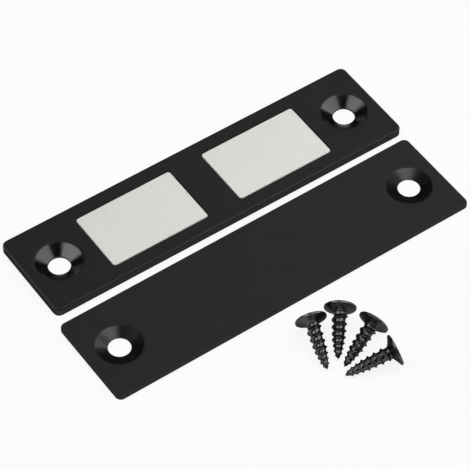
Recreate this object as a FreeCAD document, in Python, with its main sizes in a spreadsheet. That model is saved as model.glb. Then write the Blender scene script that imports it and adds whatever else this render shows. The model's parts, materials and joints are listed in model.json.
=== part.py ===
"""Flat magnetic catch for a cupboard door: a magnet half, a strike plate and four screws.

Millimetres, +Z up. The origin is the middle of the magnet half's underside and +X runs along its length.
The strike plate lies beside it, nearer the viewer, and the screws lie in a fan in front of the strike plate.
"""
import FreeCAD, Part
import Sketcher
import math
import os

Vector = FreeCAD.Vector
Constraint = Sketcher.Constraint
LEVEL = 1e-5  # how far an edge may be from a height and still count as lying at it

# The driving sizes. Every sketch and feature below takes its sizes from these cells.
SIZES = [
    ("frame_length", 80.0, "magnet frame, long side"),
    ("frame_width", 20.0, "magnet frame, short side"),
    ("frame_thickness", 1.8, "magnet frame"),
    ("frame_corner", 1.3, "plan radius of the magnet frame's corners"),
    ("frame_edge_round", 0.35, "radius along the magnet frame's top edge"),
    ("window_length", 21.82, "each through window for a magnet"),
    ("window_width", 14.02, "each through window for a magnet"),
    ("window_corner", 0.76, "plan radius of a window's corners"),
    ("window_web", 7.08, "metal left between the two windows"),
    ("magnet_clearance", 0.14, "gap all round a magnet in its window"),
    ("magnet_set_back", 0.12, "magnet faces lie this far below the frame's top"),
    ("magnet_edge_break", 0.12, "chamfer round a magnet's face"),
    ("yoke_thickness", 0.5, "steel back plate that joins the magnets' backs"),
    ("yoke_lap_along", 2.0, "back plate beyond the windows at each end"),
    ("yoke_lap_across", 1.4, "back plate beyond the windows at each side"),
    ("yoke_corner", 1.2, "plan radius of the back plate's corners"),
    ("yoke_clearance", 0.1, "gap round the back plate in its recess"),
    ("strike_length", 80.6, "strike plate, long side"),
    ("strike_width", 20.3, "strike plate, short side"),
    ("strike_thickness", 1.0, "strike plate"),
    ("strike_corner", 1.2, "plan radius of the strike plate's corners"),
    ("strike_edge_round", 0.18, "radius along the strike plate's top edge"),
    ("hole_inset", 6.85, "end of a plate to its screw hole"),
    ("hole_diameter", 4.4, "screw hole at the bottom of its countersink"),
    ("sink_diameter", 9.3, "rim of a countersink"),
    ("frame_sink_depth", 1.35, "countersink in the magnet frame"),
    ("strike_sink_depth", 0.78, "countersink in the strike plate"),
    ("halves_gap", 2.08, "between the two halves as they lie"),
    ("strike_shift", -0.82, "strike plate along X from the magnet half"),
    ("strike_turn", 0.35, "degrees the strike plate lies out of line"),
    ("screw_length", 10.6, "head face to point"),
    ("head_diameter", 6.1, "screw head"),
    ("head_band", 0.45, "upright rim of the head"),
    ("head_half_angle", 59.0, "degrees between the head's cone and its axis"),
    ("neck_diameter", 2.4, "plain neck under the head"),
    ("neck_end", 1.65, "head face to the start of the thread"),
    ("thread_diameter", 3.0, "over the crests where the thread starts"),
    ("thread_runout", 0.3, "length in which the thread rises from the neck"),
    ("thread_end_diameter", 2.49, "over the crests where the point starts"),
    ("point_length", 4.0, "whole pointed end of the thread"),
    ("tip_length", 1.15, "steeper cone at the very point"),
    ("tip_diameter", 1.6, "where the steeper cone starts"),
    ("recess_span", 3.2, "cross recess, tip to tip at the face"),
    ("recess_slot", 0.75, "width of a slot of the recess at the face"),
    ("recess_depth", 1.3, "cross recess"),
    ("recess_floor_span", 1.3, "cross recess, tip to tip at its floor"),
    ("recess_floor_slot", 0.5, "width of a slot of the recess at its floor"),
    ("fan_x", -3.9, "point the screws' tips gather round, along X"),
    ("fan_distance", 17.0, "strike plate's near edge to that point"),
    ("screw_1_tip_x", -2.07, "tip from that point, along X"),
    ("screw_1_tip_y", 0.88, "tip from that point, along Y"),
    ("screw_1_turn", 72.0, "degrees from +X to the way the head lies from the tip"),
    ("screw_2_tip_x", 0.91, "tip from that point, along X"),
    ("screw_2_tip_y", 1.67, "tip from that point, along Y"),
    ("screw_2_turn", 52.0, "degrees from +X to the way the head lies from the tip"),
    ("screw_3_tip_x", 0.83, "tip from that point, along X"),
    ("screw_3_tip_y", -0.36, "tip from that point, along Y"),
    ("screw_3_turn", 21.6, "degrees from +X to the way the head lies from the tip"),
    ("screw_4_tip_x", -0.21, "tip from that point, along X"),
    ("screw_4_tip_y", -2.01, "tip from that point, along Y"),
    ("screw_4_turn", -11.8, "degrees from +X to the way the head lies from the tip"),
]
SCREWS = ("screw_1", "screw_2", "screw_3", "screw_4")

doc = FreeCAD.newDocument("MagneticCatch")
sheet = doc.addObject("Spreadsheet::Sheet", "Sizes")
for row, (alias, number, note) in enumerate(SIZES, start=1):
    sheet.set(f"A{row}", note)
    sheet.set(f"B{row}", str(number))
    sheet.setAlias(f"B{row}", alias)
doc.recompute()


def value(expression):
    """The number that an expression on the sheet gives."""
    result = sheet.evalExpression(expression)
    return float(getattr(result, "Value", result))


def size(alias):
    """A size read straight from its cell."""
    return value(alias)


def origin_part(body, role):
    return next(part for part in body.Origin.OriginFeatures if part.Role == role)


def new_sketch(body, name, plane="XY_Plane", x=None, z=None):
    """A sketch on one of the body's own origin planes, moved along X or Z by expressions."""
    sketch = body.newObject("Sketcher::SketchObject", name)
    sketch.AttachmentSupport = [(origin_part(body, plane), "")]
    sketch.MapMode = "FlatFace"
    if x:
        sketch.setExpression("AttachmentOffset.Base.x", x)
    if z:
        sketch.setExpression("AttachmentOffset.Base.z", z)
    return sketch


def bind(sketch, kind, geometry, expression):
    """Adds a dimension to the sketch and ties it to the sheet."""
    number = sketch.addConstraint(Constraint(kind, *geometry, value(expression)))
    sketch.setExpression(f"Constraints[{number}]", expression)


def rounded_rectangle(sketch, length, width, corner):
    """Four sides and four tangent corner arcs about the sketch's own origin."""
    radius = value(corner)
    far_x, far_y = value(length) / 2, value(width) / 2
    near_x, near_y = far_x - radius, far_y - radius
    corners = [(near_x, near_y), (-near_x, near_y), (-near_x, -near_y), (near_x, -near_y)]
    sides = [
        ((near_x, far_y), (-near_x, far_y)),
        ((-far_x, near_y), (-far_x, -near_y)),
        ((-near_x, -far_y), (near_x, -far_y)),
        ((far_x, -near_y), (far_x, near_y)),
    ]
    arcs, lines = [], []
    for quarter, ((x, y), (start, end)) in enumerate(zip(corners, sides)):
        circle = Part.Circle(Vector(x, y, 0), Vector(0, 0, 1), radius)
        turn = quarter * math.pi / 2
        arcs.append(sketch.addGeometry(Part.ArcOfCircle(circle, turn, turn + math.pi / 2), False))
        lines.append(sketch.addGeometry(Part.LineSegment(Vector(*start, 0), Vector(*end, 0)), False))
    for quarter in range(4):
        sketch.addConstraint(Constraint("Tangent", arcs[quarter], 2, lines[quarter], 1))
        sketch.addConstraint(Constraint("Tangent", lines[quarter], 2, arcs[(quarter + 1) % 4], 1))
    for arc in arcs[1:]:
        sketch.addConstraint(Constraint("Equal", arcs[0], arc))
    sketch.addConstraint(Constraint("Horizontal", lines[0]))
    sketch.addConstraint(Constraint("Vertical", lines[1]))
    sketch.addConstraint(Constraint("Symmetric", arcs[0], 3, arcs[2], 3, -1, 1))
    bind(sketch, "Radius", (arcs[0],), corner)
    bind(sketch, "DistanceX", (lines[1], 1, lines[3], 1), length)
    bind(sketch, "DistanceY", (lines[2], 1, lines[0], 1), width)


def pad(body, name, sketch, length):
    feature = body.newObject("PartDesign::Pad", name)
    feature.Profile = sketch
    feature.setExpression("Length", length)
    doc.recompute()
    return feature


def pocket_up(body, name, sketch, length):
    """A pocket that is cut upwards from the sketch."""
    feature = body.newObject("PartDesign::Pocket", name)
    feature.Profile = sketch
    feature.setExpression("Length", length)
    feature.Reversed = True
    doc.recompute()
    return feature


def edges_at(shape, height):
    """Names of the edges that lie level at one height."""
    return [
        f"Edge{number}"
        for number, edge in enumerate(shape.Edges, start=1)
        if abs(edge.BoundBox.ZMin - height) < LEVEL and abs(edge.BoundBox.ZMax - height) < LEVEL
    ]


def round_top(body, name, plate, thickness, radius):
    """Rounds a plate's whole top edge, before anything is cut into its face."""
    feature = body.newObject("PartDesign::Fillet", name)
    feature.Base = (plate, edges_at(plate.Shape, size(thickness)))
    feature.setExpression("Radius", f"Sizes.{radius}")
    doc.recompute()
    return feature


def countersunk_holes(body, name, plate_length, thickness, sink_depth):
    """Two countersunk screw holes, one near each end of a plate."""
    sketch = new_sketch(body, f"{name}_centres", z=f"Sizes.{thickness}")
    offset = f"Sizes.{plate_length} / 2 - Sizes.hole_inset"
    for side in (-1, 1):
        centre = Vector(side * value(offset), 0, 0)
        circle = sketch.addGeometry(Part.Circle(centre, Vector(0, 0, 1), size("hole_diameter") / 2), False)
        sketch.addConstraint(Constraint("PointOnObject", circle, 3, -1))
        bind(sketch, "DistanceX", (-1, 1, circle, 3), f"{side} * ({offset})")
        bind(sketch, "Diameter", (circle,), "Sizes.hole_diameter")
    doc.recompute()
    hole = body.newObject("PartDesign::Hole", name)
    hole.Profile = sketch
    doc.recompute()
    hole.ThreadType = "None"
    hole.HoleCutType = "Countersink"
    hole.HoleCutCustomValues = True
    hole.DepthType = "ThroughAll"
    hole.setExpression("Diameter", "Sizes.hole_diameter")
    hole.setExpression("HoleCutDiameter", "Sizes.sink_diameter")
    slope = f"(Sizes.sink_diameter - Sizes.hole_diameter) / 2 / Sizes.{sink_depth}"
    hole.setExpression("HoleCutCountersinkAngle", f"2 * atan({slope})")
    doc.recompute()
    return hole


WINDOW_MIDDLE = "(Sizes.window_web + Sizes.window_length) / 2"
YOKE_LENGTH = "Sizes.window_web + 2 * Sizes.window_length + 2 * Sizes.yoke_lap_along"
YOKE_WIDTH = "Sizes.window_width + 2 * Sizes.yoke_lap_across"


def make_magnet_frame():
    """Coated steel frame: two windows for the magnets, a shallow recess below for the back plate."""
    body = doc.addObject("PartDesign::Body", "magnet_frame")
    outline = new_sketch(body, "frame_outline")
    rounded_rectangle(outline, "Sizes.frame_length", "Sizes.frame_width", "Sizes.frame_corner")
    plate = pad(body, "frame_plate", outline, "Sizes.frame_thickness")
    round_top(body, "frame_soft_edge", plate, "frame_thickness", "frame_edge_round")

    recess = new_sketch(body, "yoke_recess_outline")
    rounded_rectangle(
        recess,
        f"{YOKE_LENGTH} + 2 * Sizes.yoke_clearance",
        f"{YOKE_WIDTH} + 2 * Sizes.yoke_clearance",
        "Sizes.yoke_corner + Sizes.yoke_clearance",
    )
    pocket_up(body, "yoke_recess", recess, "Sizes.yoke_thickness")

    window = new_sketch(body, "window_outline", x=WINDOW_MIDDLE)
    rounded_rectangle(window, "Sizes.window_length", "Sizes.window_width", "Sizes.window_corner")
    right_window = pocket_up(body, "right_window", window, "Sizes.frame_thickness")
    mirror = body.newObject("PartDesign::Mirrored", "left_window")
    mirror.Originals = [right_window]
    mirror.MirrorPlane = (origin_part(body, "YZ_Plane"), [""])
    body.Tip = mirror
    doc.recompute()

    countersunk_holes(body, "frame_holes", "frame_length", "frame_thickness", "frame_sink_depth")
    return body


def make_magnet(name, side):
    """Nickel-plated block magnet, bonded to the back plate and nearly flush with the frame's face."""
    body = doc.addObject("PartDesign::Body", name)
    outline = new_sketch(body, f"{name}_outline", x=f"{side} * {WINDOW_MIDDLE}", z="Sizes.yoke_thickness")
    rounded_rectangle(
        outline,
        "Sizes.window_length - 2 * Sizes.magnet_clearance",
        "Sizes.window_width - 2 * Sizes.magnet_clearance",
        "Sizes.window_corner - Sizes.magnet_clearance",
    )
    height = "Sizes.frame_thickness - Sizes.magnet_set_back - Sizes.yoke_thickness"
    block = pad(body, f"{name}_block", outline, height)
    face_height = size("frame_thickness") - size("magnet_set_back")
    chamfer = body.newObject("PartDesign::Chamfer", f"{name}_edge")
    chamfer.Base = (block, edges_at(block.Shape, face_height))
    chamfer.setExpression("Size", "Sizes.magnet_edge_break")
    doc.recompute()
    return body


def make_back_plate():
    """Thin steel yoke, flush with the frame's underside and touching both magnets."""
    body = doc.addObject("PartDesign::Body", "back_plate")
    outline = new_sketch(body, "yoke_outline")
    rounded_rectangle(outline, YOKE_LENGTH, YOKE_WIDTH, "Sizes.yoke_corner")
    pad(body, "yoke_sheet", outline, "Sizes.yoke_thickness")
    return body


def strike_middle_y():
    """The strike plate lies beside the magnet half, towards the viewer."""
    return -(size("frame_width") / 2 + size("halves_gap") + size("strike_width") / 2)


def make_strike_plate():
    """Plain coated steel plate that goes on the door and that the magnets hold."""
    body = doc.addObject("PartDesign::Body", "strike_plate")
    outline = new_sketch(body, "strike_outline")
    rounded_rectangle(outline, "Sizes.strike_length", "Sizes.strike_width", "Sizes.strike_corner")
    plate = pad(body, "strike_sheet", outline, "Sizes.strike_thickness")
    round_top(body, "strike_soft_edge", plate, "strike_thickness", "strike_edge_round")
    countersunk_holes(body, "strike_holes", "strike_length", "strike_thickness", "strike_sink_depth")
    turn = FreeCAD.Rotation(Vector(0, 0, 1), size("strike_turn"))
    body.Placement = FreeCAD.Placement(Vector(size("strike_shift"), strike_middle_y(), 0), turn)
    return body


def make_screw(name):
    """Countersunk self-tapping screw, turned about Z with its head face at zero and its point upwards."""
    body = doc.addObject("PartDesign::Body", name)
    profile = new_sketch(body, f"{name}_profile", plane="XZ_Plane")
    turned_profile(profile)
    turned = body.newObject("PartDesign::Revolution", f"{name}_turned")
    turned.Profile = profile
    turned.ReferenceAxis = (origin_part(body, "Z_Axis"), [""])
    turned.Angle = 360
    doc.recompute()

    face_slot = new_sketch(body, f"{name}_slot_at_face")
    rectangle(face_slot, "Sizes.recess_span", "Sizes.recess_slot")
    floor_slot = new_sketch(body, f"{name}_slot_at_floor", z="Sizes.recess_depth")
    rectangle(floor_slot, "Sizes.recess_floor_span", "Sizes.recess_floor_slot")
    doc.recompute()
    slot = body.newObject("PartDesign::SubtractiveLoft", f"{name}_slot")
    slot.Profile = face_slot
    slot.Sections = [floor_slot]
    slot.Ruled = True
    doc.recompute()
    cross = body.newObject("PartDesign::PolarPattern", f"{name}_cross")
    cross.Originals = [slot]
    cross.Axis = (origin_part(body, "Z_Axis"), [""])
    cross.Occurrences = 2
    cross.Angle = 90
    body.Tip = cross
    doc.recompute()
    body.Placement = resting_place(name)
    return body


# Half section of a screw, from the head face to the point: radius, then distance from the head face.
HEAD_CONE = "(Sizes.head_diameter - Sizes.neck_diameter) / 2 / tan(Sizes.head_half_angle * 1 deg)"
SCREW_SECTION = [
    ("Sizes.head_diameter / 2", "0"),
    ("Sizes.head_diameter / 2", "Sizes.head_band"),
    ("Sizes.neck_diameter / 2", f"Sizes.head_band + {HEAD_CONE}"),
    ("Sizes.neck_diameter / 2", "Sizes.neck_end"),
    ("Sizes.thread_diameter / 2", "Sizes.neck_end + Sizes.thread_runout"),
    ("Sizes.thread_end_diameter / 2", "Sizes.screw_length - Sizes.point_length"),
    ("Sizes.tip_diameter / 2", "Sizes.screw_length - Sizes.tip_length"),
    ("0", "Sizes.screw_length"),
]


def turned_profile(sketch):
    """Draws the half section with radius along the sketch's X and distance along its Y."""
    places = [Vector(0, 0, 0)] + [Vector(value(x), value(y), 0) for x, y in SCREW_SECTION]
    lines = [
        sketch.addGeometry(Part.LineSegment(start, end), False)
        for start, end in zip(places, places[1:] + places[:1])
    ]
    for before, after in zip(lines, lines[1:] + lines[:1]):
        sketch.addConstraint(Constraint("Coincident", before, 2, after, 1))
    sketch.addConstraint(Constraint("Coincident", lines[0], 1, -1, 1))
    for line, (x, y) in zip(lines, SCREW_SECTION):
        if x == "0":
            sketch.addConstraint(Constraint("PointOnObject", line, 2, -2))
        else:
            bind(sketch, "DistanceX", (-1, 1, line, 2), x)
        if y == "0":
            sketch.addConstraint(Constraint("PointOnObject", line, 2, -1))
        else:
            bind(sketch, "DistanceY", (-1, 1, line, 2), y)


def rectangle(sketch, length, width):
    """A plain rectangle about the sketch's own origin."""
    far_x, far_y = value(length) / 2, value(width) / 2
    corners = [Vector(*corner, 0) for corner in ((far_x, far_y), (-far_x, far_y), (-far_x, -far_y), (far_x, -far_y))]
    lines = [
        sketch.addGeometry(Part.LineSegment(start, end), False)
        for start, end in zip(corners, corners[1:] + corners[:1])
    ]
    for number in range(4):
        sketch.addConstraint(Constraint("Coincident", lines[number], 2, lines[(number + 1) % 4], 1))
        sketch.addConstraint(Constraint("Vertical" if number % 2 else "Horizontal", lines[number]))
    sketch.addConstraint(Constraint("Symmetric", lines[0], 1, lines[2], 1, -1, 1))
    bind(sketch, "DistanceX", (lines[0], 2, lines[0], 1), length)
    bind(sketch, "DistanceY", (lines[3], 1, lines[3], 2), width)


def resting_tilt():
    """Angle at which a screw on its side rests on the edge of its head and on its thread."""
    head = size("head_diameter") / 2
    corners = [(value(radius), value(distance)) for radius, distance in SCREW_SECTION]
    behind_neck = [corner for corner in corners if corner[1] > size("neck_end")]
    return min(math.atan2(head - radius, distance - size("head_band")) for radius, distance in behind_neck)


def resting_place(name):
    """Where a screw of the fan lies, from its tip's place and the way its head lies from there."""
    tilt = resting_tilt()
    turn = size(f"{name}_turn")
    height = size("head_diameter") / 2 * math.cos(tilt) + size("head_band") * math.sin(tilt)
    direction = Vector(math.cos(math.radians(turn)), math.sin(math.radians(turn)), 0)
    gather_y = strike_middle_y() - size("strike_width") / 2 - size("fan_distance")
    below_tip = Vector(size("fan_x") + size(f"{name}_tip_x"), gather_y + size(f"{name}_tip_y"), 0)
    place = below_tip + direction * size("screw_length") * math.cos(tilt) + Vector(0, 0, height)
    return FreeCAD.Placement(place, FreeCAD.Rotation(turn, -90 - math.degrees(tilt), 0))


def main():
    make_magnet_frame()
    make_magnet("magnet_left", -1)
    make_magnet("magnet_right", 1)
    make_back_plate()
    make_strike_plate()
    for name in SCREWS:
        make_screw(name)


main()
doc.recompute()
for thing in doc.Objects:
    faults = [state for state in thing.State if state in ("Invalid", "Error")]
    if faults:
        raise RuntimeError(f"{thing.Name} is {faults}")
bodies = doc.findObjects("PartDesign::Body")
for body in bodies:
    if body.Shape.isNull() or not body.Shape.isValid() or len(body.Shape.Solids) != 1:
        raise RuntimeError(f"{body.Label} is not one sound solid")
os.makedirs("parts", exist_ok=True)
for body in bodies:
    body.Shape.exportStep(f"parts/{body.Label}.step")
    print(f"{body.Label}: {body.Shape.Volume:.2f} mm3")
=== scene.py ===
# %% [markdown]
# # A flat magnetic catch for a cupboard door
# The real object comes as a small kit: a black steel plate with two nickel-plated magnets let into it, a
# plain black strike plate that goes on the door, and four short black screws. The solid shapes already exist
# at their real size, so this lesson dresses them: light, camera, finishes, and the fine thread on the
# screws. The solids are loaded first and never moved. Sizes are in metres, with millimetres written as MM.
# Only the cells that shape a screw count in plain millimetres.

# %% Load the solids
import json
import math

import bmesh
import bpy
from mathutils import Matrix, Quaternion, Vector


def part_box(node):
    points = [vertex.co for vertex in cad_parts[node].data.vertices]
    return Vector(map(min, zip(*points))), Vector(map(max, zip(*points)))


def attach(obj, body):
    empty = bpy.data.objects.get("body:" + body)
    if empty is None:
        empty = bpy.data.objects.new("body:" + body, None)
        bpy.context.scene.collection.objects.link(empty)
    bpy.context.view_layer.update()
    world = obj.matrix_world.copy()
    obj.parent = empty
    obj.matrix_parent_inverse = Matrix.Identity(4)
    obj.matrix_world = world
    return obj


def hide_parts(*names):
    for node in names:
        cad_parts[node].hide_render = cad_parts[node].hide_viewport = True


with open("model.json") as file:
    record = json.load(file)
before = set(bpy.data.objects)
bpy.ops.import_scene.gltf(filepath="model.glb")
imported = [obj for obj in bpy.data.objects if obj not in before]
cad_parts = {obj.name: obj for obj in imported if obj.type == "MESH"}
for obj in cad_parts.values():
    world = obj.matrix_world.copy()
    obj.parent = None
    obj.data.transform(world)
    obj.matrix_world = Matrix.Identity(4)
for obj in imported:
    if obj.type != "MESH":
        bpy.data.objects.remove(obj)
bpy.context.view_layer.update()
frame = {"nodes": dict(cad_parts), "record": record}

MM = 0.001
scene = bpy.context.scene
scene.view_settings.view_transform = "Standard"
print("solids:", ", ".join(sorted(frame["nodes"])))

# %% [markdown]
# ## The camera
# A small product is usually photographed from well back with a long lens, so that its far end looks almost
# as large as its near end. The camera could follow a target with a Track To constraint, but a camera that
# gets its place and turn as plain values can later be moved anywhere. So one helper gives the direction of
# any place round the object, and another turns a camera or a lamp to look at a point. Both are used again
# for the lamps.

# %% Camera
CAMERA_AZIMUTH = -34.69  # degrees round the object; 0 looks along +Y
CAMERA_ELEVATION = 50.67  # degrees above the floor
CAMERA_DISTANCE = 521.75 * MM
CAMERA_LENS = 209.97  # on a sensor 36 mm wide
LOOK_AT = Vector((-1.515, -12.423, 0)) * MM


def outward(azimuth, elevation):
    """Unit direction from the object to a place round it, from two angles in degrees."""
    turn, rise = math.radians(azimuth), math.radians(elevation)
    return Vector((math.sin(turn) * math.cos(rise), -math.cos(turn) * math.cos(rise), math.sin(rise)))


def put(name, data):
    """Adds an object with this data to the scene."""
    thing = bpy.data.objects.new(name, data)
    scene.collection.objects.link(thing)
    return thing


def aim(thing, azimuth, elevation, distance, roll=0.0):
    """Places a camera or lamp round the object, turns it to the object and rolls it about its own view."""
    direction = outward(azimuth, elevation)
    thing.location = LOOK_AT + direction * distance
    thing.rotation_mode = "QUATERNION"
    level = (-direction).to_track_quat("-Z", "Y")
    thing.rotation_quaternion = level @ Quaternion((0, 0, 1), math.radians(roll))


camera = put("camera", bpy.data.cameras.new("camera"))
camera.data.sensor_width = 36
camera.data.lens = CAMERA_LENS
camera.data.clip_start = 10 * MM
camera.data.clip_end = 20
aim(camera, CAMERA_AZIMUTH, CAMERA_ELEVATION, CAMERA_DISTANCE)
scene.camera = camera
print("camera at", [round(v / MM) for v in camera.location], "mm")

# %% [markdown]
# ## Small tools for shaders
# A shader is a graph of nodes. Adding each node by hand takes three or four lines, which hides what the
# graph does. These helpers add a node together with its settings and inputs: an input that is given a
# socket is linked to it, and any other input is given a plain value. Two more turn a number that changes
# over a surface into a mask, and a mask into a number.

# %% Node helpers


def feed(tree, node, inputs):
    """Gives a node its inputs. A socket is linked, and anything else is set as a plain value."""
    for name, given in inputs.items():
        if isinstance(given, bpy.types.NodeSocket):
            tree.links.new(given, node.inputs[name])
        else:
            node.inputs[name].default_value = given


def add(tree, kind, settings=None, inputs=None):
    """Adds one shader node with its settings and inputs."""
    node = tree.nodes.new(kind)
    for name, setting in (settings or {}).items():
        setattr(node, name, setting)
    feed(tree, node, inputs or {})
    return node


def calculate(tree, operation, *terms):
    """A Math node on these terms, giving its output."""
    return add(tree, "ShaderNodeMath", {"operation": operation}, dict(enumerate(terms))).outputs[0]


def spread(tree, mask, low, high):
    """Turns a mask from 0 to 1 into a number from low to high."""
    inputs = {"Value": mask, "To Min": low, "To Max": high}
    return add(tree, "ShaderNodeMapRange", inputs=inputs).outputs["Result"]


def mask_between(tree, number, start, end, smooth=False):
    """A mask that is 0 where the number is at the start and 1 where it has reached the end."""
    settings = {"interpolation_type": "SMOOTHSTEP" if smooth else "LINEAR"}
    inputs = {"Value": number, "From Min": start, "From Max": end}
    return add(tree, "ShaderNodeMapRange", settings, inputs).outputs["Result"]


print("node helpers ready")

# %% [markdown]
# ## Floor and surroundings
# If the floor were only lit paper, it would need so much light to turn white that the nickel would burn out.
# So most of its white is its own glow, which only the camera and mirror-like reflections see, and the rest
# is lit paper, which keeps the soft shadow under each piece. A reflection that meets the floor close by sees
# less of the glow, because there the piece itself would keep the light off the paper. The world is the room
# behind the sweep. The camera sees it all white, and reflections see the white of the sweep up to just above
# the horizon. Overhead the room is dim, because the lamps light the pieces.

# %% Floor
FLOOR_SIZE = 6.0
FLOOR_DROP = 0.02 * MM  # keeps the floor just clear of the plates' undersides


def finish_mesh(name, builder):
    """Turns what a bmesh has built into a mesh."""
    mesh = bpy.data.meshes.new(name)
    builder.to_mesh(mesh)
    builder.free()
    return mesh


floor_builder = bmesh.new()
bmesh.ops.create_grid(floor_builder, size=FLOOR_SIZE / 2)
floor_mesh = finish_mesh("floor", floor_builder)
floor = put("floor", floor_mesh)
floor.location.z = -FLOOR_DROP
print("floor", FLOOR_SIZE, "m square")

# %% Floor finish
WHITE = (1, 1, 1, 1)
PAPER = (0.9, 0.9, 0.9, 1)
FLOOR_GLOW = 0.88  # share of the floor's white that doesn't depend on the lamps
SHADED_WITHIN = 2 * MM  # a reflection that meets the floor this close sees none of its glow
LIT_BEYOND = 40 * MM  # from here on it sees all of it


def shown_white(tree, share):
    """1 for rays from the camera, and this share for mirror-like reflections and for rays through glass."""
    path = add(tree, "ShaderNodeLightPath").outputs
    reflected = calculate(tree, "MAXIMUM", path["Is Glossy Ray"], path["Is Transmission Ray"])
    return calculate(tree, "MAXIMUM", path["Is Camera Ray"], calculate(tree, "MULTIPLY", reflected, share))


floor_finish = bpy.data.materials.new("white_sweep")
floor_finish.use_nodes = True
sweep = floor_finish.node_tree
sweep.nodes.clear()
ray_length = add(sweep, "ShaderNodeLightPath").outputs["Ray Length"]
in_the_open = mask_between(sweep, ray_length, SHADED_WITHIN, LIT_BEYOND)
glow_share = calculate(sweep, "MULTIPLY", shown_white(sweep, in_the_open), FLOOR_GLOW)
paper = add(sweep, "ShaderNodeBsdfDiffuse", inputs={"Color": PAPER}).outputs[0]
glow = add(sweep, "ShaderNodeEmission", inputs={"Color": WHITE, "Strength": 1.0}).outputs[0]
mixed = add(sweep, "ShaderNodeMixShader", inputs={0: glow_share, 1: paper, 2: glow}).outputs[0]
add(sweep, "ShaderNodeOutputMaterial", inputs={"Surface": mixed})
floor_mesh.materials.append(floor_finish)
print("share of the floor's white that glows:", FLOOR_GLOW)

# %% World
HORIZON_LIGHT = 0.05
OVERHEAD_LIGHT = 0.03
PALE_TOP = 0.5  # height on the unit sphere at which the light has faded to that overhead
BACKDROP_TOP = 0.08  # height up to which a mirror-like reflection still meets the white of the sweep

world = bpy.data.worlds.new("studio_room")
world.use_nodes = True
room = world.node_tree
room.nodes.clear()
direction = add(room, "ShaderNodeTexCoord").outputs["Generated"]
height = add(room, "ShaderNodeSeparateXYZ", inputs={0: direction}).outputs["Z"]
overhead = mask_between(room, height, 0.0, PALE_TOP, smooth=True)
room_light = spread(room, overhead, HORIZON_LIGHT, OVERHEAD_LIGHT)
white = shown_white(room, mask_between(room, height, BACKDROP_TOP, 0.0, smooth=True))
strength = spread(room, white, room_light, 1.0)
background = add(room, "ShaderNodeBackground", inputs={"Color": WHITE, "Strength": strength}).outputs[0]
add(room, "ShaderNodeOutputWorld", inputs={"Surface": background})
scene.world = world
print("world from", HORIZON_LIGHT, "at the horizon to", OVERHEAD_LIGHT, "overhead")

# %% [markdown]
# ## Soft boxes
# Black paint shows little but reflections, so the lamps are placed by what they draw on it. The boxes above
# and behind draw the sectors of the shallower countersinks and give the magnets their sheen, and the low
# ones draw the edges and the threads. Each lamp is described by its brightness as a surface, because that is
# what a reflection shows, and its power is worked out from its area.

# %% Lamps
SOFT_BOXES = {  # azimuth, elevation and roll in degrees, distance, width and height in metres, brightness
    "soft_box_right": (67, 46.5, -42.3, 0.9, 0.94, 0.34, 2.6),
    "soft_box_left": (-119, 54.8, 41, 1.8, 1.82, 0.72, 3.2),
    "soft_box_above": (92, 76.5, 0, 0.9, 0.44, 0.36, 2.0),
    "soft_box_back": (130, 56, 0, 0.9, 0.46, 0.36, 3.3),
    "soft_box_front": (44, 17, 0, 0.9, 0.80, 0.42, 1.3),
    "soft_box_low": (176, 10, 0, 0.9, 0.40, 0.26, 0.22),
}


def hang_soft_box(name, azimuth, elevation, roll, distance, width, height, brightness):
    """An evenly bright rectangular lamp that faces the object."""
    lamp = bpy.data.lights.new(name, "AREA")
    lamp.shape = "RECTANGLE"
    lamp.size = width
    lamp.size_y = height
    lamp.energy = math.pi * width * height * brightness
    aim(put(name, lamp), azimuth, elevation, distance, roll)


for name, setting in SOFT_BOXES.items():
    hang_soft_box(name, *setting)
print("lamps:", ", ".join(SOFT_BOXES))

# %% [markdown]
# ## Coat grain, a shared effect
# Both plates and the screws are coated, and a coat never dries perfectly flat: it has a skin of tiny bumps,
# about a third of a millimetre across on the plates, and slow changes of shade. A picture of paint could be
# wrapped round the piece, but it would stretch at the edges. Noise that is read at each point in space needs
# no wrapping, so the grain is a node group of noise that each coated material places with its own size.

# %% Coat grain group
CLOUD_SHARE = 0.06  # how often the shade changes, as a share of how often the grain does


def new_group(name, takes, gives):
    """An empty shader node group with named inputs (name, kind, value) and outputs (name, kind)."""
    group = bpy.data.node_groups.new(name, "ShaderNodeTree")
    for label, kind, start in takes:
        group.interface.new_socket(name=label, in_out="INPUT", socket_type=kind).default_value = start
    for label, kind in gives:
        group.interface.new_socket(name=label, in_out="OUTPUT", socket_type=kind)
    return group, group.nodes.new("NodeGroupInput").outputs, group.nodes.new("NodeGroupOutput").inputs


coat_grain, grain_in, grain_out = new_group(
    "Coat grain",
    [("Vector", "NodeSocketVector", (0, 0, 0)), ("Grains Per Metre", "NodeSocketFloat", 3000.0)],
    [("Height", "NodeSocketFloat"), ("Shade", "NodeSocketFloat")],
)
grains = add(coat_grain, "ShaderNodeTexNoise", inputs={
    "Vector": grain_in["Vector"], "Scale": grain_in["Grains Per Metre"], "Detail": 2.0, "Roughness": 0.55,
})
cloud_scale = calculate(coat_grain, "MULTIPLY", grain_in["Grains Per Metre"], CLOUD_SHARE)
clouds = add(coat_grain, "ShaderNodeTexNoise", inputs={
    "Vector": grain_in["Vector"], "Scale": cloud_scale, "Detail": 3.0,
})
coat_grain.links.new(grains.outputs["Fac"], grain_out["Height"])
coat_grain.links.new(clouds.outputs["Fac"], grain_out["Shade"])
print("group:", coat_grain.name)

# %% [markdown]
# ## Turned countersinks, a shared effect
# The screw holes are cut with a turning tool, which leaves a smoother cone than the flat face and very fine
# rings round the hole. The cones could be made separate faces with a material of their own, but the solids'
# meshes stay untouched. So a node group measures how far each point lies from the nearer of a plate's two
# holes and how far below the face it lies. It gives a mask that is 1 on the cones and 0 elsewhere, and the
# height of the rings. The coat also flows over the sharp rim of each cone and rounds it off. The rim's
# height drops in a parabola on both sides, so as a bump it bends the face and the cone by half the angle
# between them, and the light passes smoothly from one to the other.

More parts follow.
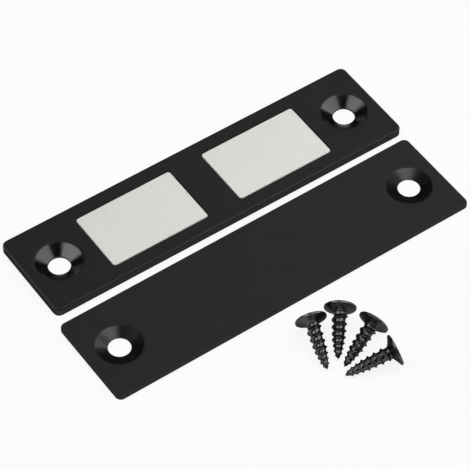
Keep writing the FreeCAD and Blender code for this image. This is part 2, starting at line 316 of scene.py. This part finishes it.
# %% Inputs and outputs of the countersink group
turned_sinks, sink_in, sink_out = new_group(
    "Turned countersinks",
    [
        ("Vector", "NodeSocketVector", (0, 0, 0)),
        ("Left Hole", "NodeSocketVector", (0, 0, 0)),
        ("Right Hole", "NodeSocketVector", (0, 0, 0)),
        ("Rim Radius", "NodeSocketFloat", 0.00465),
        ("Face Height", "NodeSocketFloat", 0.001),
        ("Rim Slope", "NodeSocketFloat", 0.2),
    ],
    [("Inside", "NodeSocketFloat"), ("Rings", "NodeSocketFloat"), ("Rim", "NodeSocketFloat")],
)


def sink_math(operation, *terms):
    """A Math node in the countersink group."""
    return calculate(turned_sinks, operation, *terms)


def sink_vector(operation, *terms):
    """A Vector Math node in the countersink group."""
    settings = {"operation": operation}
    return add(turned_sinks, "ShaderNodeVectorMath", settings, dict(enumerate(terms))).outputs


def distance_across(hole):
    """Distance of the point from a hole's axis, which stands upright."""
    apart = sink_vector("SUBTRACT", sink_in["Vector"], hole)["Vector"]
    level = sink_vector("MULTIPLY", apart, (1, 1, 0))["Vector"]
    return sink_vector("LENGTH", level)["Value"]


to_left, to_right = distance_across(sink_in["Left Hole"]), distance_across(sink_in["Right Hole"])
from_hole = sink_math("MINIMUM", to_left, to_right)
print("group:", turned_sinks.name)

# %% What the countersink group measures
RING_PITCH = 0.11 * MM
SINK_BLUR = 0.03 * MM
RIM_REACH = 0.45 * MM  # how far from the rim the coat's rounding starts


def below(number, limit):
    """1 where the number is well under the limit, fading to 0 at it."""
    share = sink_math("DIVIDE", sink_math("SUBTRACT", limit, number), SINK_BLUR)
    return add(turned_sinks, "ShaderNodeClamp", inputs={"Value": share}).outputs[0]


point_height = add(turned_sinks, "ShaderNodeSeparateXYZ", inputs={0: sink_in["Vector"]}).outputs["Z"]
within_rim = below(from_hole, sink_in["Rim Radius"])
under_face = below(point_height, sink_in["Face Height"])
on_cone = sink_math("MULTIPLY", within_rim, under_face)
rings = sink_math("SINE", sink_math("MULTIPLY", from_hole, 2 * math.pi / RING_PITCH))
from_rim = sink_math("ABSOLUTE", sink_math("SUBTRACT", from_hole, sink_in["Rim Radius"]))
on_rounding = sink_math("MAXIMUM", sink_math("SUBTRACT", RIM_REACH, from_rim), 0.0)
drop = sink_math("DIVIDE", sink_math("MULTIPLY", on_rounding, on_rounding), -2 * RIM_REACH)
turned_sinks.links.new(on_cone, sink_out["Inside"])
turned_sinks.links.new(sink_math("MULTIPLY", rings, on_cone), sink_out["Rings"])
turned_sinks.links.new(sink_math("MULTIPLY", drop, sink_in["Rim Slope"]), sink_out["Rim"])
print("rings every", round(RING_PITCH / MM, 2), "mm")

# %% [markdown]
# ## Brushed lines, a shared effect
# The magnets' faces and the steel back plate were dragged over an abrasive belt, which leaves long scratches
# that all run one way. Noise gives that when it is squeezed hard in one direction and stretched in the
# other. Two widths are mixed, because real brushing has fine hairlines and broader, fainter streaks.

# %% Brushed lines group
STREAK_SCALE = 0.16  # the streaks are this much coarser than the hairlines

brushed_lines, brush_in, brush_out = new_group(
    "Brushed lines",
    [("Vector", "NodeSocketVector", (0, 0, 0)), ("Squeeze", "NodeSocketVector", (9000, 150, 150))],
    [("Lines", "NodeSocketFloat"), ("Streaks", "NodeSocketFloat")],
)
squeezed = add(brushed_lines, "ShaderNodeVectorMath", {"operation": "MULTIPLY"}, {
    0: brush_in["Vector"], 1: brush_in["Squeeze"],
}).outputs[0]
for output, scale in (("Lines", 1.0), ("Streaks", STREAK_SCALE)):
    texture = {"Vector": squeezed, "Scale": scale, "Detail": 2.0}
    noise = add(brushed_lines, "ShaderNodeTexNoise", inputs=texture)
    brushed_lines.links.new(noise.outputs["Fac"], brush_out[output])
print("group:", brushed_lines.name)

# %% [markdown]
# ## Black coat on the two plates
# Both plates are coated black. The flat faces are satin, so they turn the lamps into an even dark grey, and
# the turned cones are glossier, so they show the lamps as pale sectors. The cones' colour is also painted
# near black, as painted shade in the holes. The upright sides look out at the white floor, and a coat would
# mirror it too strongly. So there the coat passes into a dark metal, whose mirroring at flat angles is held
# down by its Specular Tint. One function makes the coat for a plate, because only its shade, its gloss and
# the places of its holes differ.

# %% Material helpers


def new_material(name):
    """A material with only a Principled shader, and its node tree."""
    material = bpy.data.materials.new(name)
    material.use_nodes = True
    return material, material.node_tree, material.node_tree.nodes["Principled BSDF"]


def use(tree, group, inputs):
    """Places a node group in a material."""
    return add(tree, "ShaderNodeGroup", {"node_tree": group}, inputs).outputs


def bump(tree, height, distance, below_it=None):
    """A Bump node on a height, on top of another normal if one is given."""
    inputs = {"Height": height, "Distance": distance}
    if below_it:
        inputs["Normal"] = below_it
    return add(tree, "ShaderNodeBump", inputs=inputs).outputs[0]


def blend_colours(tree, mask, low, high):
    """Mixes two colours by a mask. Either may be a socket that gives a colour."""
    low, high = (c if isinstance(c, bpy.types.NodeSocket) else (*c, 1) for c in (low, high))
    return add(tree, "ShaderNodeMix", {"data_type": "RGBA"}, {"Factor": mask, 6: low, 7: high}).outputs[2]


print("material helpers ready")

# %% Values of the coat
SINK_RIM_RADIUS = 4.65 * MM
SATIN_SHINE = 0.22  # well below the usual 0.5, as a matt powder coat reflects little
SIDE_SHEEN = (0.4, 0.4, 0.4, 1)  # share of the mirroring at a flat angle that is left
SIDE_TINT = (0.06, 0.06, 0.06)
# painted shade: the countersinks' colour is near black, so their unlit parts read as shade
SINK_PAINTED_SHADE = (0.001, 0.001, 0.001)
SINK_GRAIN = 0.2  # share of the coat's grain left on the turned cones
SINK_GLOSS = 1.0  # share of clear gloss on top of the coat in the countersinks
PLATE_GRAINS = 3200.0  # per metre
GRAIN_DEPTH = 0.006 * MM
RING_DEPTH = 0.0004 * MM
ROUGHNESS_SWING = 0.03  # how far the changes of shade move the roughness either way
EDGE_NORMALS = (0.98, 0.93)  # upward part of the normal where the rounded edge starts, and where it is full
SIDE_NORMALS = (0.5, 0.25)  # and the same for the upright side

bores = [mount for mount in frame["record"]["mounts"] if mount["kind"] == "bore"]
hole_place = {bore["name"]: bore["pos_m"] for bore in bores}
print("holes:", ", ".join(hole_place))

# %% Coat of a plate


def make_coat(name, holes, face_height, rim_slope, dark, light, face_roughness, sink_roughness, edge_gloss):
    """Black coat for one plate: satin faces, glossier turned countersinks painted near black as shade."""
    material, tree, shader = new_material(name)
    place = add(tree, "ShaderNodeTexCoord").outputs["Object"]
    grain = use(tree, coat_grain, {"Vector": place, "Grains Per Metre": PLATE_GRAINS})
    sinks = use(tree, turned_sinks, {
        "Vector": place,
        "Left Hole": hole_place[holes + "_left"],
        "Right Hole": hole_place[holes + "_right"],
        "Rim Radius": SINK_RIM_RADIUS,
        "Face Height": face_height - SINK_BLUR,
        "Rim Slope": rim_slope,
    })
    on_cone = sinks["Inside"]
    normal = add(tree, "ShaderNodeNewGeometry").outputs["Normal"]
    facing_up = add(tree, "ShaderNodeSeparateXYZ", inputs={0: normal}).outputs["Z"]
    leaning = mask_between(tree, facing_up, *EDGE_NORMALS, smooth=True)
    upright = mask_between(tree, calculate(tree, "ABSOLUTE", facing_up), *SIDE_NORMALS)
    # What is seen in another face's gloss is dull, so no cone shows the gloss of its own far wall.
    mirrored = add(tree, "ShaderNodeLightPath").outputs["Is Glossy Ray"]

    face_tint = blend_colours(tree, grain["Shade"], dark, light)
    # painted shade: on the cones the coat's colour gives way to a near-black one
    tint_with_painted_sink_shade = blend_colours(tree, on_cone, face_tint, SINK_PAINTED_SHADE)
    smoother, rougher = face_roughness - ROUGHNESS_SWING, face_roughness + ROUGHNESS_SWING
    satin = spread(tree, grain["Shade"], smoother, rougher)
    roughness = spread(tree, on_cone, satin, sink_roughness)
    edge = calculate(tree, "MULTIPLY", leaning, spread(tree, on_cone, edge_gloss, 0.0))
    gloss = calculate(tree, "ADD", edge, spread(tree, on_cone, 0.0, SINK_GLOSS))
    glossy = calculate(tree, "SUBTRACT", 1.0, calculate(tree, "MAXIMUM", upright, mirrored))
    rims = bump(tree, sinks["Rim"], 1.0)
    smoothed = calculate(tree, "MULTIPLY", grain["Height"], spread(tree, on_cone, 1.0, SINK_GRAIN))
    ground = bump(tree, smoothed, GRAIN_DEPTH, below_it=rims)
    feed(tree, shader, {
        "Base Color": blend_colours(tree, upright, tint_with_painted_sink_shade, SIDE_TINT),
        "Metallic": upright,
        "Roughness": calculate(tree, "MAXIMUM", roughness, mirrored),
        "Specular IOR Level": SATIN_SHINE,
        "Specular Tint": SIDE_SHEEN,
        "Coat Weight": calculate(tree, "MULTIPLY", gloss, glossy),
        "Coat Roughness": sink_roughness,
        "Normal": bump(tree, sinks["Rings"], RING_DEPTH, below_it=ground),
    })
    return material


print("coat function ready")

# %% Coated plates


def dress(node, material):
    """Gives a solid's own object a finish."""
    piece = frame["nodes"][node]
    for place in piece.material_slots:
        place.material = material


frame_coat = make_coat(
    "frame_coat", "magnet_hole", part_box("magnet_frame")[1].z, rim_slope=0.258,
    dark=(0.0095, 0.0095, 0.0097), light=(0.0165, 0.0165, 0.0168),
    face_roughness=0.42, sink_roughness=0.18, edge_gloss=0.45,
)
strike_coat = make_coat(
    "strike_coat", "strike_hole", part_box("strike_plate")[1].z, rim_slope=0.155,
    dark=(0.0135, 0.0135, 0.0137), light=(0.0215, 0.0215, 0.0218),
    face_roughness=0.46, sink_roughness=0.22, edge_gloss=0.2,
)
dress("magnet_frame", frame_coat)
dress("strike_plate", strike_coat)
print("coated: magnet_frame, strike_plate")

# %% [markdown]
# ## Brushed nickel on the magnets
# The magnets are plated with nickel, a slightly warm, pale metal, and brushed across the plate's width. A
# metal has no colour of its own beyond the tint of its reflections, so Metallic stays at 1 and the brushing
# goes into all three of tint, roughness and bump.

# %% Magnets


def brushed_metal(name, squeeze, dark, light, smoother, rougher, depth):
    """A bare metal brushed one way."""
    material, tree, shader = new_material(name)
    place = add(tree, "ShaderNodeTexCoord").outputs["Object"]
    brushing = use(tree, brushed_lines, {"Vector": place, "Squeeze": squeeze})
    feed(tree, shader, {
        "Base Color": blend_colours(tree, brushing["Streaks"], dark, light),
        "Metallic": 1.0,
        "Roughness": spread(tree, brushing["Lines"], smoother, rougher),
        "Normal": bump(tree, brushing["Lines"], depth),
    })
    return material


nickel = brushed_metal(
    "brushed_nickel", squeeze=(14000, 170, 170),
    dark=(0.728, 0.718, 0.682), light=(0.852, 0.842, 0.806),
    smoother=0.54, rougher=0.66, depth=0.006 * MM,
)
for node in ("magnet_left", "magnet_right"):
    dress(node, nickel)
print("plated: magnet_left, magnet_right")

# %% [markdown]
# ## Zinc on the back plate
# The thin steel plate under the magnets is only seen from below. It is zinc-plated sheet: greyer than
# nickel, a little blue, and brushed along its length by the rolling mill. So it takes the same function as
# the magnets, with the lines turned the other way.

# %% Back plate
zinc = brushed_metal(
    "zinc_sheet", squeeze=(120, 6000, 120),
    dark=(0.44, 0.45, 0.47), light=(0.60, 0.61, 0.62),
    smoother=0.34, rougher=0.5, depth=0.004 * MM,
)
dress("back_plate", zinc)
print("plated: back_plate")

# %% [markdown]
# ## The screws' shape
# Each screw is turned and then rolled: a thin countersunk head with a rounded rim and a trumpet-shaped
# underside, a short neck, and a coarse right-handed thread whose turns get closer towards the point.
# Blender's Screw modifier can sweep a thread, but it can't taper one or join it to a head. So the screw is
# one skin of rings, and in the threaded part the rings turn into one long helix: each column of points
# starts a little lower than the one before, and after a full turn it is exactly one pitch down, where it
# meets the next row. Sizes are in millimetres from the head's face.

# %% Sizes of a screw
SIDES = 72
SCREW_LENGTH = 10.6
HEAD_RADIUS = 3.05
RIM_HEIGHT = 0.45
RIM_ROUND = 0.19
NECK_RADIUS = 1.2
NECK_START = 1.5
THREAD_START = 1.6
THREAD_FULL = 1.95
ROOT_SHARE = 0.74  # root radius of the thread as a share of its crest radius
FIRST_PITCH = 1.6  # under the head
PITCH_LOSS = 0.11  # the pitch is this much shorter after each turn

# Where the thread's crests lie: distance from the head's face, and radius. The point is blunt like a bullet.
CREST_LINE = ((THREAD_FULL, 1.53), (6.6, 1.32), (9.45, 0.80), (10.05, 0.49), (SCREW_LENGTH, 0.0))

# The thread's section over one pitch: place along the pitch, and height as a share of the thread's depth.
RISING_FLANK = ((0.10, 0.0), (0.18, 0.02), (0.25, 0.12), (0.33, 0.38), (0.41, 0.70), (0.465, 0.94))
FALLING_FLANK = tuple((1 - along, height) for along, height in reversed(RISING_FLANK))
THREAD_SECTION = ((0.0, 0.0), *RISING_FLANK, (0.5, 1.0), *FALLING_FLANK)
print("screw", SCREW_LENGTH, "mm long, head", 2 * HEAD_RADIUS, "mm wide")

# %% Thread of a screw


def thread_place(turns):
    """Distance from the head's face that the thread has reached after a number of turns."""
    if turns < 0:
        return THREAD_START + FIRST_PITCH * turns
    return THREAD_START + FIRST_PITCH * turns - PITCH_LOSS * turns * turns / 2


def whole_turns():
    """Number of whole turns of thread, up to the one that passes the screw's point."""
    turns = 0
    while thread_place(turns) < SCREW_LENGTH:
        turns += 1
    return turns


def crest_radius(z):
    """Radius that the crests reach at a distance from the head's face."""
    for (start, wide), (end, narrow) in zip(CREST_LINE, CREST_LINE[1:]):
        if z <= end:
            return wide + (narrow - wide) * max(z - start, 0) / (end - start)
    return 0.0


def thread_rise(z):
    """0 on the neck, and 1 from where the thread has its full depth."""
    return min(max((z - THREAD_START) / (THREAD_FULL - THREAD_START), 0), 1)


def root_radius(z):
    """Radius at the bottom of the thread; it blends into the neck."""
    rise = thread_rise(z)
    smooth = rise * rise * (3 - 2 * rise)
    return NECK_RADIUS + (crest_radius(z) * ROOT_SHARE - NECK_RADIUS) * smooth


def thread_radius(z, height):
    """Radius of the threaded part where the section has this height."""
    root = root_radius(z)
    return root + max(crest_radius(z) - root, 0) * height * thread_rise(z)


print("thread ends in turn", whole_turns())

# %% Head of a screw
FACE_RADIUS = HEAD_RADIUS - 2.5 * RIM_ROUND  # of the flat part of the head's face
EDGE_BREAK = (0.02, 0.03)  # how far in, and how far up, the rim starts to turn under
FLARE_START = (HEAD_RADIUS - 0.09, RIM_HEIGHT + 0.03)
FLARE_CURVE = 1.4  # 1 would be a plain cone
RIM_STEPS = 4
FLARE_STEPS = 12


def head_section():
    """Radius and distance of each ring of the head, from its face to the neck."""
    rings = [(FACE_RADIUS, 0.0)]
    for step in range(RIM_STEPS + 1):
        angle = math.radians(90 * step / RIM_STEPS)
        radius = HEAD_RADIUS - RIM_ROUND * (1 - math.sin(angle))
        rings.append((radius, RIM_ROUND * (1 - math.cos(angle))))
    rings.append((HEAD_RADIUS, RIM_HEIGHT - RIM_ROUND))
    rings.append((HEAD_RADIUS - EDGE_BREAK[0], RIM_HEIGHT - EDGE_BREAK[1]))
    start_radius, start = FLARE_START
    for step in range(FLARE_STEPS + 1):
        share = step / FLARE_STEPS
        radius = NECK_RADIUS + (start_radius - NECK_RADIUS) * (1 - share) ** FLARE_CURVE
        rings.append((radius, start + (NECK_START - start) * share))
    rings.append((NECK_RADIUS, THREAD_START))
    return rings


print(len(head_section()), "rings in a head")

# %% Skin of a screw
THREAD_GAP = 0.02  # points of the thread nearer to the neck's ring than this are left out
POINT_GAP = 0.08  # and so are those nearer to the point than this


def add_ring(mesh, radius, z):
    """Adds a ring of points round the screw's axis."""
    turns = [2 * math.pi * side / SIDES for side in range(SIDES)]
    return [mesh.verts.new((radius * math.cos(turn), radius * math.sin(turn), z)) for turn in turns]


def add_head(mesh):
    """Adds the head and neck, and gives the ring where the thread starts."""
    rings = [add_ring(mesh, radius, z) for radius, z in head_section()]
    mesh.faces.new(rings[0])
    for upper, lower in zip(rings, rings[1:]):
        for side in range(SIDES):
            after = (side + 1) % SIDES
            mesh.faces.new((upper[side], upper[after], lower[after], lower[side]))
    return rings[-1]


def add_columns(mesh):
    """Adds the points of the helix. Each column holds them by row, and the last one repeats the first."""
    per_pitch = len(THREAD_SECTION)
    columns = []
    for side in range(SIDES):
        turn = 2 * math.pi * side / SIDES
        column = {}
        for row in range((whole_turns() + 1) * per_pitch):
            along, height = THREAD_SECTION[row % per_pitch]
            z = thread_place(row // per_pitch + along + side / SIDES - 1)
            if THREAD_START + THREAD_GAP < z < SCREW_LENGTH - POINT_GAP:
                radius = thread_radius(z, height)
                column[row] = mesh.verts.new((radius * math.cos(turn), radius * math.sin(turn), z))
        columns.append(column)
    columns.append({row - per_pitch: point for row, point in columns[0].items()})
    return columns


def add_thread(mesh, neck_ring):
    """Adds the helix below a ring, down to the point."""
    tip = mesh.verts.new((0, 0, SCREW_LENGTH))
    columns = add_columns(mesh)
    for side in range(SIDES):
        left, right = columns[side], columns[side + 1]
        after = neck_ring[(side + 1) % SIDES]
        first, last = min(left), max(right)
        start = [right[row] for row in range(min(right), first + 1)]
        mesh.faces.new([neck_ring[side], after, *start, left[first]])
        for row in range(first, last):
            mesh.faces.new((left[row], right[row], right[row + 1], left[row + 1]))
        end = [left[row] for row in range(max(left), last - 1, -1)]
        mesh.faces.new([*end, right[last], tip])


screw_builder = bmesh.new()
add_thread(screw_builder, add_head(screw_builder))
bmesh.ops.recalc_face_normals(screw_builder, faces=screw_builder.faces)
open_edges = sum(not edge.is_manifold for edge in screw_builder.edges)
print("screw skin:", len(screw_builder.faces), "faces, open edges:", open_edges)
screw_mesh = finish_mesh("screw_blank", screw_builder)

# %% [markdown]
# ## The cross recess
# The driver's recess is four tapered wings round a point, pressed into the head. It could be drawn into the
# head's own mesh, but its wings cross the rings of the head, so it is simpler to build the punch that
# pressed it and take that away with a Boolean. The punch's section is a cross with small rounds in its inner
# corners, and it narrows with depth.

# %% Punch for the recess
RECESS_DEPTH = 1.15
RECESS_POINT = 1.3
RECESS_TOP = (1.6, 0.375, 0.16)  # half span, half slot and inner round at the face
RECESS_FLOOR = (0.65, 0.25, 0.08)
WING_BREAK = 0.08  # corner cut at the end of each wing
PUNCH_STAND = 0.2  # how far the punch reaches out of the face
ROUND_STEPS = 4


def cross_section(depth):
    """Corner points of the punch at a depth below the head's face."""
    share = depth / RECESS_DEPTH
    span, slot, inner = (top + (bottom - top) * share for top, bottom in zip(RECESS_TOP, RECESS_FLOOR))
    cut_span, cut_slot = span - WING_BREAK, slot - WING_BREAK
    wing = [(cut_span, -slot), (span, -cut_slot), (span, cut_slot), (cut_span, slot)]
    for step in range(ROUND_STEPS + 1):
        angle = math.radians(-90 * (1 + step / ROUND_STEPS))
        wing.append((slot + inner * (1 + math.cos(angle)), slot + inner * (1 + math.sin(angle))))
    points = []
    for quarter in range(4):
        turn = Matrix.Rotation(quarter * math.pi / 2, 2)
        points += [turn @ Vector(corner) for corner in wing]
    return [(*point, depth) for point in points]


punch_builder = bmesh.new()
depths = (-PUNCH_STAND, RECESS_DEPTH)
above, inside = ([punch_builder.verts.new(corner) for corner in cross_section(depth)] for depth in depths)
punch_point = punch_builder.verts.new((0, 0, RECESS_POINT))
punch_builder.faces.new(above)
for corner in range(len(above)):
    after = (corner + 1) % len(above)
    punch_builder.faces.new((above[corner], above[after], inside[after], inside[corner]))
    punch_builder.faces.new((inside[corner], inside[after], punch_point))
bmesh.ops.recalc_face_normals(punch_builder, faces=punch_builder.faces)
print("punch:", len(punch_builder.faces), "faces")
punch_mesh = finish_mesh("recess_punch", punch_builder)

# %% Pressing the recess
SHARP_ANGLE = 38  # edges sharper than this many degrees stay crisp

blank, punch = put("screw_blank", screw_mesh), put("recess_punch", punch_mesh)
press = blank.modifiers.new("cross_recess", "BOOLEAN")
press.operation = "DIFFERENCE"
press.solver = "EXACT"
press.object = punch
pressed = blank.evaluated_get(bpy.context.evaluated_depsgraph_get())
finished_screw = bpy.data.meshes.new_from_object(pressed)
finished_screw.name = "threaded_screw"
finished_screw.transform(Matrix.Scale(MM, 4))
for tool in (blank, punch):
    bpy.data.objects.remove(tool)
for face in finished_screw.polygons:
    face.use_smooth = True
finished_screw.set_sharp_from_angle(angle=math.radians(SHARP_ANGLE))
print("finished screw:", len(finished_screw.polygons), "faces")

# %% [markdown]
# ## Black zinc on the screws
# The screws are zinc-plated and blackened. That is still a metal, only a very dark one, so Metallic is 1 and
# the tint is nearly black: the roots of the thread stay black and its crests catch thin bright lines.
# Specular Tint keeps the reflection of the floor weak where a metal is seen at a flat angle.

# %% Screw finish
SCREW_GRAINS = 5200.0  # per metre
SCREW_GRAIN_DEPTH = 0.004 * MM
SCREW_DARK = (0.068, 0.068, 0.069)
SCREW_LIGHT = (0.13, 0.13, 0.131)
SCREW_SHEEN = (0.5, 0.5, 0.5, 1)  # share of the mirroring at a flat angle that is left
SCREW_ROUGHNESS = (0.2, 0.3)

screw_black, tree, shader = new_material("black_zinc")
place = add(tree, "ShaderNodeTexCoord").outputs["Object"]
screw_grain = use(tree, coat_grain, {"Vector": place, "Grains Per Metre": SCREW_GRAINS})
feed(tree, shader, {
    "Base Color": blend_colours(tree, screw_grain["Shade"], SCREW_DARK, SCREW_LIGHT),
    "Metallic": 1.0,
    "Specular Tint": SCREW_SHEEN,
    "Roughness": spread(tree, screw_grain["Height"], *SCREW_ROUGHNESS),
    "Normal": bump(tree, screw_grain["Height"], SCREW_GRAIN_DEPTH),
})
finished_screw.materials.clear()
finished_screw.materials.append(screw_black)
print("finish:", screw_black.name)

# %% [markdown]
# ## Laying the screws
# The solids say how each screw lies. Its point is the corner that is furthest from all the others on
# average, and the rim of its head is the ring of corners that are furthest from its point. The middle of
# that ring and the point give the screw's axis, so each finished screw goes exactly where its solid is and
# stands for it.

# %% Screws in place
RIM_SLACK = 0.01 * MM


def lying_place(node):
    """Place and length of a screw. Its origin is the middle of the head's face, with Z to the point, X up."""
    corners = {tuple(round(v, 7) for v in corner.co) for corner in frame["nodes"][node].data.vertices}
    corners = [Vector(corner) for corner in sorted(corners)]
    middle = sum(corners, Vector()) / len(corners)
    point = max(corners, key=lambda corner: (corner - middle).length)
    reach = max((corner - point).length for corner in corners)
    rim = [corner for corner in corners if (corner - point).length > reach - RIM_SLACK]
    face = sum(rim, Vector()) / len(rim)
    along = (point - face).normalized()
    up = (Vector((0, 0, 1)) - along * along.z).normalized()
    turned = Matrix((up, along.cross(up), along)).transposed()
    return Matrix.Translation(face) @ turned.to_4x4(), (point - face).length


for node in sorted(name for name in frame["nodes"] if name.startswith("screw_")):
    place, length = lying_place(node)
    skin = finished_screw.copy()
    skin.transform(place)
    screw = put("threaded_" + node, skin)
    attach(screw, "root")
    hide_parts(node)
    print(node, "is", round(length / MM, 2), "mm long")
